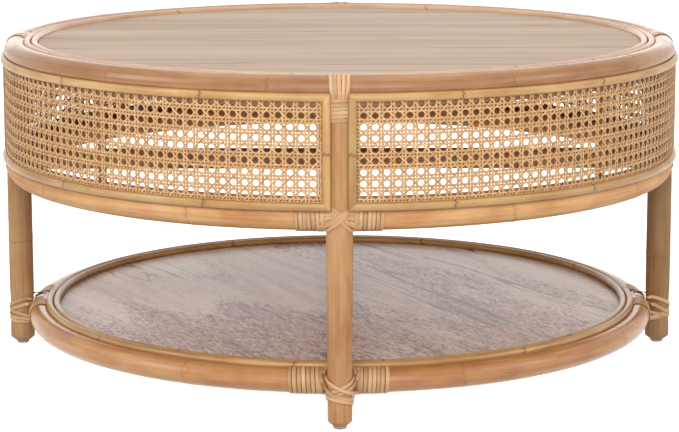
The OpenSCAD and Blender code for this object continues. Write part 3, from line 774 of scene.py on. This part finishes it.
# Arc length from the quadrant's first leg to its first column of openings
CANE_START = {"front_right": 28.1, "back_right": 29.4, "back_left": 27.2, "front_left": 0}
CANE_FRONT_LEFT_END = 30.7
CANE_FIRST_ROW = TOP_Z - 18
# Arc from a leg's axis to the edge of the webbing, and gap above and below it
CANE_EDGE = 12.5
CANE_GAP = 0.6
# A strand whose middle is nearer than this to the edge is left out, and so is a short slanting piece
EDGE_CLEAR = 1.2
LEAST_SLANT = 4
# Where a strand bends within a cell, as a share of the pitch, and how far it lifts there
STRAIGHT_BEND = ((-0.29, 0.0), (-PAIR, -0.45), (PAIR, 0.45), (0.29, 0.0))
SLANT_PLACES = (-0.354, -PAIR, PAIR, 0.354)
SLANT_SIGNS = (1.0, -1.0, -1.0, 1.0)
SLANT_LIFT = 0.72
# The hem is a flat strip behind all four edges. It is coloured very dark, as painted shade in the openings
# along the edges.
SIDE_HEM = 11.7
HEM_DEPTH = 1.9
HEM_SHADE = -1.9


def hem_section(width):
    return np.array([(-1, -0.7), (1, -0.7), (1, 0.7), (-1, 0.7)]) * [width / 2, 1]


def cane_panel(quadrant, start):
    """Pairs of strands upright, level and slanting both ways, woven over and under, on a flat hem"""
    strands = Strands()
    length = math.radians(90) * CANE_R
    first, last = CANE_EDGE, length - CANE_EDGE
    bottom, top = CANE_LOW + CANE_GAP, CANE_HIGH - CANE_GAP
    column = CANE_START[quadrant]
    if quadrant == "front_left":
        column = (length - CANE_FRONT_LEFT_END) % PITCH_X
    base = math.radians(start) * CANE_R

    def lay(arc, height, lift):
        azimuth = np.degrees((base + arc) / CANE_R)
        path = on_circle(CANE_R + lift, azimuth, height)
        strands.sweep(path, on_circle(1, azimuth, 0), CANE_SECTION, rng.uniform(0, 1))

    def woven(low_end, high_end, pitch, phase, flip):
        """Distances along a strand and its height at the crossings of one pair per cell"""
        first_cell = math.floor((low_end - phase) / pitch) - 1
        cells = np.arange(first_cell, math.ceil((high_end - phase) / pitch) + 2)
        at = np.concatenate([[phase + (c + 0.5 + t) * pitch for t, _ in STRAIGHT_BEND] for c in cells])
        lift = np.tile([h * flip for _, h in STRAIGHT_BEND], len(cells))
        inside = (at > low_end + 0.5) & (at < high_end - 0.5)
        ends = np.interp([low_end, high_end], at, lift)
        return np.r_[low_end, at[inside], high_end], np.r_[ends[0], lift[inside], ends[1]]

    for i in range(-3, int(length / PITCH_X) + 3):
        for side in (-1, 1):
            arc = column + (i + 0.5 + side * PAIR) * PITCH_X + rng.normal(0, 0.12)
            if first + EDGE_CLEAR < arc < last - EDGE_CLEAR:
                z, lift = woven(bottom, top, PITCH_Z, CANE_FIRST_ROW, -side)
                sway = rng.normal(0, 0.1, len(z))
                lay(arc + sway, z, lift)
    for k in range(-3, 14):
        for side in (-1, 1):
            z = CANE_FIRST_ROW - (k + 0.5 - side * PAIR) * PITCH_Z + rng.normal(0, 0.1)
            if bottom + EDGE_CLEAR < z < top - EDGE_CLEAR:
                arc, lift = woven(first, last, PITCH_X, column, side)
                lay(arc, z + rng.normal(0, 0.07, len(arc)), lift)
    rise = PITCH_Z / PITCH_X
    cells = np.arange(-6, int(length / PITCH_X) + 8)
    at = np.concatenate([[column + (c + t) * PITCH_X for t in SLANT_PLACES] for c in cells])
    for way in (-1, 1):
        bend = np.tile(SLANT_SIGNS, len(cells)) * -way * SLANT_LIFT
        for k in range(-40, 100):
            # The slanting strand crosses the first row of openings at this arc length
            cross = column + (k + 0.5) * PITCH_X + rng.normal(0, 0.12)
            z = CANE_FIRST_ROW + way * (at - cross) * rise
            reach = np.interp(sorted((way * bottom, way * top)), way * z, at)
            a, b = max(reach[0], first), min(reach[1], last)
            if b - a < LEAST_SLANT:
                continue
            inside = (at > a + 0.6) & (at < b - 0.6)
            arc = np.r_[a, at[inside], b]
            lift = np.r_[np.interp(a, at, bend), bend[inside], np.interp(b, at, bend)]
            lay(arc, CANE_FIRST_ROW + way * (arc - cross) * rise, lift)
    # The hems are painted dark: painted shade seen through the edge openings
    hem_r = CANE_R - HEM_DEPTH
    for low, high in ((CANE_LOW + 0.5, BOTTOM_TRIM_Z + 12.4), (CANE_FIRST_ROW - 2.6, CANE_HIGH - 0.5)):
        azimuth = np.degrees((base + np.linspace(first, last, 80)) / CANE_R)
        path = on_circle(hem_r, azimuth, (low + high) / 2)
        strands.sweep(path, on_circle(1, azimuth, 0), hem_section(high - low), HEM_SHADE)
    heights = np.linspace(BOTTOM_TRIM_Z + 12.6, CANE_FIRST_ROW - 2.8, 12)
    for edge in (first + SIDE_HEM / 2, last - SIDE_HEM / 2):
        azimuth = np.degrees((base + edge) / CANE_R)
        normals = np.tile(on_circle(1, azimuth, 0), (len(heights), 1))
        strands.sweep(on_circle(hem_r, azimuth, heights), normals, hem_section(SIDE_HEM), HEM_SHADE)
    strands.piece("cane_" + quadrant + "_weave", ["cane_" + quadrant], CANE, 60)


for quadrant, start in QUADRANTS.items():
    cane_panel(quadrant, start)


# ---- bindings of rattan peel ----

def curve_through(points, step=1.6):
    """Catmull-Rom curve through points, about one place every step"""
    p = np.asarray(points, float)
    p = np.concatenate([[2 * p[0] - p[1]], p, [2 * p[-1] - p[-2]]])
    out = []
    for i in range(1, len(p) - 2):
        count = max(int(np.linalg.norm(p[i + 1] - p[i]) / step), 2)
        t = np.linspace(0, 1, count, endpoint=False)[:, None]
        a = 2 * p[i]
        b = p[i + 1] - p[i - 1]
        c = 2 * p[i - 1] - 5 * p[i] + 4 * p[i + 1] - p[i + 2]
        d = -p[i - 1] + 3 * p[i] - 3 * p[i + 1] + p[i + 2]
        out.append((a + b * t + c * t * t + d * t ** 3) / 2)
    out.append(p[-2][None])
    return np.concatenate(out)


# Points in one turn of a winding
RING_TURN_POINTS = 30
LEG_TURN_POINTS = 32
# Size of the soft fillet that strands follow where a leg meets a ring
SOFT = 1.2
# Rounds in which a strand is moved to its distance from the poles
ROUNDS = 8
# A height that no strand reaches
NO_TOP = 1e4


def joint_surface(points, ring_r, ring_z, leg_tube, leg_top):
    """Distance to a leg and ring that meet, and the way out from them, in the leg's own axes"""
    leg_away = points * [1, 1, 0]
    leg_away[:, 2] = np.maximum(points[:, 2] - leg_top, 0)
    leg_gap = np.linalg.norm(leg_away, axis=1) - leg_tube
    leg_out = unit(leg_away)
    world = points + [LEG_R, 0, 0]
    radial = np.hypot(world[:, 0], world[:, 1])
    across = radial - ring_r
    up = points[:, 2] - ring_z
    ring_gap = np.hypot(across, up) - TUBE
    radial_way = np.stack([world[:, 0] / radial, world[:, 1] / radial, np.zeros(len(points))], -1)
    ring_out = unit(radial_way * across[:, None] + np.array([0, 0, 1.0]) * up[:, None])
    weight_leg = np.exp(-np.clip(leg_gap / SOFT, -30, 30))
    weight_ring = np.exp(-np.clip(ring_gap / SOFT, -30, 30))
    total = weight_leg + weight_ring
    gap = -SOFT * np.log(total)
    out = unit((leg_out * weight_leg[:, None] + ring_out * weight_ring[:, None]) / total[:, None])
    return gap, out


def along_strand(values, count):
    """One value or several evenly spread ones, at each of count places"""
    values = np.atleast_1d(values)
    return np.interp(np.linspace(0, 1, count), np.linspace(0, 1, len(values)), values)


def lash(strands, azimuth, controls, ring_r, ring_z, lift, width, leg_tube=LEG_TUBE, taper=1, pull=1.0,
         leg_top=NO_TOP):
    """A strand over a leg and ring

    Controls are outward and sideways from the leg's axis, and up from the ring's middle. The strand is
    pushed clear of the poles by lift. With pull it is drawn down onto them as well.
    """
    path = curve_through(controls) + [0, 0, ring_z]
    height = along_strand(lift, len(path))
    for _ in range(ROUNDS):
        gap, out = joint_surface(path, ring_r, ring_z, leg_tube, leg_top)
        step = gap - height
        path = path - out * np.where(step > 0, step * pull, step)[:, None]
    _, out = joint_surface(path, ring_r, ring_z, leg_tube, leg_top)
    section = np.repeat(peel_section(width, PEEL_T)[None], len(path), 0)
    section[..., 0] *= along_strand(taper, len(path))[:, None]
    turned = to_world(path + [LEG_R, 0, 0], azimuth)
    strands.sweep(turned, to_world(out, azimuth), section, rng.uniform(0, 1))


def to_world(points, azimuth):
    """Turns points from a leg's own axes to its azimuth"""
    a = math.radians(azimuth)
    turn = np.array([[math.cos(a), math.sin(a), 0], [-math.sin(a), math.cos(a), 0], [0, 0, 1]])
    return points @ turn


def strand_shades(t, turns):
    """A random shade for each turn"""
    shades = rng.uniform(0, 1, turns + 2)
    return shades[(t * turns).astype(int)]


def ring_winding(strands, azimuth, ring_r, ring_z, near, far, turns, lean):
    """Turns of peel round a ring, between two distances from the leg's axis that are signed by side"""
    t = np.linspace(0, 1, turns * RING_TURN_POINTS + 1)
    around = -math.pi * 0.9 + t * turns * 2 * math.pi
    halves = np.arange(0, turns + 2, 0.5)
    drift = np.interp(t * turns, halves, rng.normal(0, 0.2, len(halves)))
    sideways = near + (far - near) * t + lean * np.cos(around) + drift
    swell = np.interp(t * turns, halves, rng.uniform(0, 0.4, len(halves)))
    tube = TUBE + PEEL_T / 2 + 0.1 + swell
    angle = np.radians(azimuth) + sideways / ring_r
    r = ring_r + tube * np.cos(around)
    path = np.stack([r * np.cos(angle), r * np.sin(angle), ring_z + tube * np.sin(around)], -1)
    out = np.stack([np.cos(around) * np.cos(angle), np.cos(around) * np.sin(angle), np.sin(around)], -1)
    section = peel_section(abs(far - near) / turns * 0.97, PEEL_T + 0.5)
    strands.sweep(path, out, section, strand_shades(t, turns))


def leg_winding(strands, azimuth, low, high, turns, lift):
    """Turns of peel round a leg, between two heights"""
    t = np.linspace(0, 1, turns * LEG_TURN_POINTS + 1)
    around = math.pi + t * turns * 2 * math.pi
    z = low + (high - low) * t
    r = LEG_TUBE + lift
    local = np.stack([r * np.cos(around) + LEG_R, r * np.sin(around), z], -1)
    out = np.stack([np.cos(around), np.sin(around), np.zeros(len(t))], -1)
    section = peel_section((high - low) / turns * 0.98, PEEL_T)
    strands.sweep(to_world(local, azimuth), to_world(out, azimuth), section, strand_shades(t, turns))


def top_binding(leg, azimuth):
    """Five strands side by side over the ring and down the leg, and a winding over their ends"""
    strands = Strands()
    ring_x = FRAME_R - LEG_R
    for i in range(-2, 3):
        drift = rng.normal(0, 0.18, 11)
        wide = np.array([5.2, 5.2, 5.2, 5.2, 5.15, 5.05, 4.9, 4.5, 4.1, 3.8, 3.6]) * i + drift
        ring_gap = TUBE + 0.5 + rng.uniform(0, 0.25)
        controls = []
        for angle, y in zip((130, 112, 92, 72, 52, 34, 16), wide):
            a = math.radians(angle)
            controls.append((ring_x + ring_gap * math.cos(a), y, ring_gap * math.sin(a)))
        for drop, y in zip((4, 10, 16, 22), wide[7:]):
            front = math.sqrt((LEG_TUBE + 0.45) ** 2 - y * y)
            controls.append((front, y, -drop))
        taper = (1, 1, 1, 1, 0.98, 0.8, 0.7)
        lash(strands, azimuth, controls, FRAME_R, TOP_Z, 0.42, 5.35, taper=taper, pull=0.0,
             leg_top=TOP_Z - 14)
    leg_winding(strands, azimuth, TOP_Z - 38.5, TOP_Z - 11, 6, PEEL_T * 1.5)
    strands.piece("top_binding_" + leg + "_peel", ["top_binding_" + leg], PEEL)


def apron_binding(leg, azimuth):
    """Windings on the ring at both sides of the leg, a fan of strands from each, and a cross over the leg"""
    strands = Strands()
    ring_winding(strands, azimuth, FRAME_R, APRON_Z, -18.0, -53.0, 7, 0.5)
    ring_winding(strands, azimuth, FRAME_R, APRON_Z, 17.5, 52.0, 7, -0.5)
    # Heights at which the strands of each fan leave the winding and reach the middle of the leg
    fans = {
        -1: ((10, 7.5), (5.4, 4.4), (0.8, 1.2), (-4.0, -2.2)),
        1: ((9, 6.5), (4.6, 3.6), (0.2, 0.2), (-4.6, -4.0)),
    }
    for side, fan in fans.items():
        for start, stop in fan:
            bow = 1.6 if start > 0 else 0.6
            controls = [
                (4, side * 22.5, start - 1.5), (11, side * 16, start + bow * 0.5),
                (13.5, side * 10, (start + stop) / 2 + bow), (15, side * 3.5, stop),
            ]
            lash(strands, azimuth, controls, FRAME_R, APRON_Z, (1.0, 0.5, 0.3, 0.15), 4.9)
    # Both ways of the cross are two strands side by side
    beside = [(-shift * 0.62, shift * 0.78) for shift in (-2.35, 2.35)]
    for dy, dz in beside:
        controls = [
            (-9, 23 + dy, -16), (2, 21 + dy, -15), (9, 17 - dy, -12.5 + dz),
            (14, 9.5 - dy, -6.5 + dz), (16, 2 - dy, 1 + dz), (16, -4 - dy, 7 + dz),
            (14, -9.2, 12.8 + dz),
        ]
        lash(strands, azimuth, controls, FRAME_R, APRON_Z, (0.9, 0.9, 0.8, 0.5), 4.6)
    for dy, dz in beside:
        controls = [
            (-9, -24 + dy, -16), (2, -22 + dy, -15.5), (9, -18 + dy, -12.5 + dz),
            (14, -9.5 + dy, -6.5 + dz), (16.5, -3 + dy, -1 + dz), (16, 4 + dy, 5 + dz),
            (14, 10.2, 10.5 + dz * 0.6),
        ]
        lash(strands, azimuth, controls, FRAME_R, APRON_Z, (0.9, 1.25, 1.25, 0.8), 4.6)
    strands.piece("apron_binding_" + leg + "_peel", ["apron_binding_" + leg], PEEL)


def shelf_binding(leg, azimuth):
    """Windings on the ring at both sides of the leg, and strands that cross round the front of the leg"""
    strands = Strands()
    ring_winding(strands, azimuth, SHELF_R, SHELF_Z, -23.5, -61.5, 7, 0.6)
    ring_winding(strands, azimuth, SHELF_R, SHELF_Z, 22.5, 58.0, 7, -0.6)
    under = (
        [
            (-31, 15, 16.5), (-20, 18.0, 15.5), (-8, 18, 13.5), (2, 17.2, 11),
            (11, 12.5, 6.5), (14, 2, 1), (11.5, -9, -5), (4, -15, -9.5),
            (-8, -18, -13), (-28, -18, -17),
        ],
        [
            (-28, 22, 16.5), (-16, 22, 11), (-6, 20.5, 6), (4, 17.5, 2.5),
            (11, 11.5, -0.5), (14, 2, -5), (11.5, -9, -10), (0, -15, -14), (-12, -18, -16),
        ],
    )
    over = (
        [
            (-31, -15, 16.5), (-20, -18.5, 15.5), (-9, -18.5, 14.5), (1, -18, 12),
            (10.5, -13, 7), (14.2, 0, 0.5), (10.5, 11, -4.5), (1, 16.5, -7.5),
            (-10, 19.5, -10.5), (-26, 19, -16.5),
        ],
        [
            (-26, -22, 16), (-14, -22.5, 9), (-5, -21, 3.5), (3, -18, -1),
            (10.5, -12, -5.5), (14.2, 0, -9.5), (10.5, 11, -12.5), (0, 16, -13.5),
            (-12, 19, -14.5),
        ],
        [
            (-14, -18.5, -6), (-2, -17, -9), (9.5, -12.5, -11), (14.2, 0, -13.5),
            (10.5, 11, -17), (0, 15.6, -18.5), (-12, 17.5, -18),
        ],
    )
    # A loop on each side holds the ring to the leg's flank
    loops = [
        [
            (-24, side * 19.5, 15.5), (-15.5, side * 23, 10.5), (-12, side * 24, 0),
            (-15, side * 22, -10.5), (-24, side * 19.5, -15.5),
        ]
        for side in (-1, 1)
    ]
    tube = min(np.interp(SHELF_Z - LEG_FOOT, LEG_STATIONS, LEG_WIDTHS[leg]), LASHED_TUBE)
    for controls in loops:
        lash(strands, azimuth, controls, SHELF_R, SHELF_Z, 1.1, 4.6, tube)
    for controls in under:
        lash(strands, azimuth, controls, SHELF_R, SHELF_Z, 0.5, 5.2, tube, pull=0.05)
    for controls in over:
        lash(strands, azimuth, controls, SHELF_R, SHELF_Z, (0.9, 1.2, 1.25, 1.2, 0.9), 5.4, tube, pull=0.05)
    strands.piece("shelf_binding_" + leg + "_peel", ["shelf_binding_" + leg], PEEL)


for leg, azimuth in LEGS.items():
    top_binding(leg, azimuth)
    apron_binding(leg, azimuth)
    shelf_binding(leg, azimuth)


# ---- studio ----

def studio_floor():
    """A white floor that shows shadows and doesn't light the table"""
    bpy.ops.mesh.primitive_plane_add(size=60, location=(0, 0, -0.0003))
    floor = bpy.context.active_object
    floor.name = "studio_floor"
    m = Shader("studio_floor")
    speck = m.noise(m.place(), 3.0, 2.0, 0.5)
    colour = m.ramp(speck, [(0.3, (244, 244, 243)), (0.7, (248, 248, 247))])
    m.surface(Base_Color=colour, Roughness=0.9, Emission_Color=(1, 1, 1, 1), Emission_Strength=0.85)
    floor.data.materials.append(m.material)
    floor.visible_diffuse = False


def area_light(name, place, aim, size, power):
    """A white rectangular light that shines from place towards aim"""
    data = bpy.data.lights.new(name, "AREA")
    data.shape = "RECTANGLE"
    data.size = size[0]
    data.size_y = size[1]
    data.energy = power
    light = bpy.data.objects.new(name, data)
    bpy.context.scene.collection.objects.link(light)
    light.location = place
    light.visible_camera = False
    way = np.array(aim, float) - np.array(place, float)
    flat = math.hypot(way[0], way[1])
    light.rotation_euler = (math.atan2(flat, -way[2]), 0, math.atan2(-way[0], way[1]))


def studio_world():
    """White to the camera and in reflections, warmer and darker where it lights the table"""
    world = bpy.data.worlds.new("studio")
    world.use_nodes = True
    tree = world.node_tree
    tree.nodes.clear()
    seen = tree.nodes.new("ShaderNodeBackground")
    seen.inputs[0].default_value = (1, 1, 1, 1)
    seen.inputs[1].default_value = 1.05
    fill = tree.nodes.new("ShaderNodeBackground")
    fill.inputs[0].default_value = (1, 0.93, 0.84, 1)
    fill.inputs[1].default_value = 0.32
    ray = tree.nodes.new("ShaderNodeLightPath")
    pick = tree.nodes.new("ShaderNodeMixShader")
    out = tree.nodes.new("ShaderNodeOutputWorld")
    tree.links.new(ray.outputs["Is Diffuse Ray"], pick.inputs[0])
    tree.links.new(seen.outputs[0], pick.inputs[1])
    tree.links.new(fill.outputs[0], pick.inputs[2])
    tree.links.new(pick.outputs[0], out.inputs[0])
    world.cycles.sampling_method = "NONE"
    bpy.context.scene.world = world


studio_floor()
studio_world()
area_light("front_key", (0, -2.8, 1.9), (0, 0, 0.25), (2.4, 1.0), 15)
area_light("front_low", (0, -2.9, 0.9), (0, 0, 0.15), (2.6, 0.8), 29)
area_light("back_glow", (0, 2.9, 0.8), (0, 0, 0.1), (3.2, 0.8), 9)
area_light("side_left", (-2.9, -1.3, 1.5), (0, 0, 0.25), (1.5, 1.5), 26)
area_light("side_right", (2.9, -1.3, 1.5), (0, 0, 0.25), (1.5, 1.5), 20)
area_light("overhead", (0, 0.4, 3.0), (0, 0, 0.3), (2.4, 2.4), 22)

camera_data = bpy.data.cameras.new("photo_camera")
camera_data.sensor_width = 36
camera_data.lens = 125.39
camera_data.shift_y = -0.08
camera_data.clip_end = 100
camera = bpy.data.objects.new("photo_camera", camera_data)
camera.location = (0, -3.1476, 0.7708)
tilt = Matrix.Rotation(math.radians(90 - 9.42), 3, "X")
roll = Matrix.Rotation(math.radians(-0.1), 3, "Z")
camera.rotation_euler = (tilt @ roll).to_euler()
bpy.context.scene.collection.objects.link(camera)
bpy.context.scene.camera = camera
bpy.context.scene.view_settings.view_transform = "Standard"
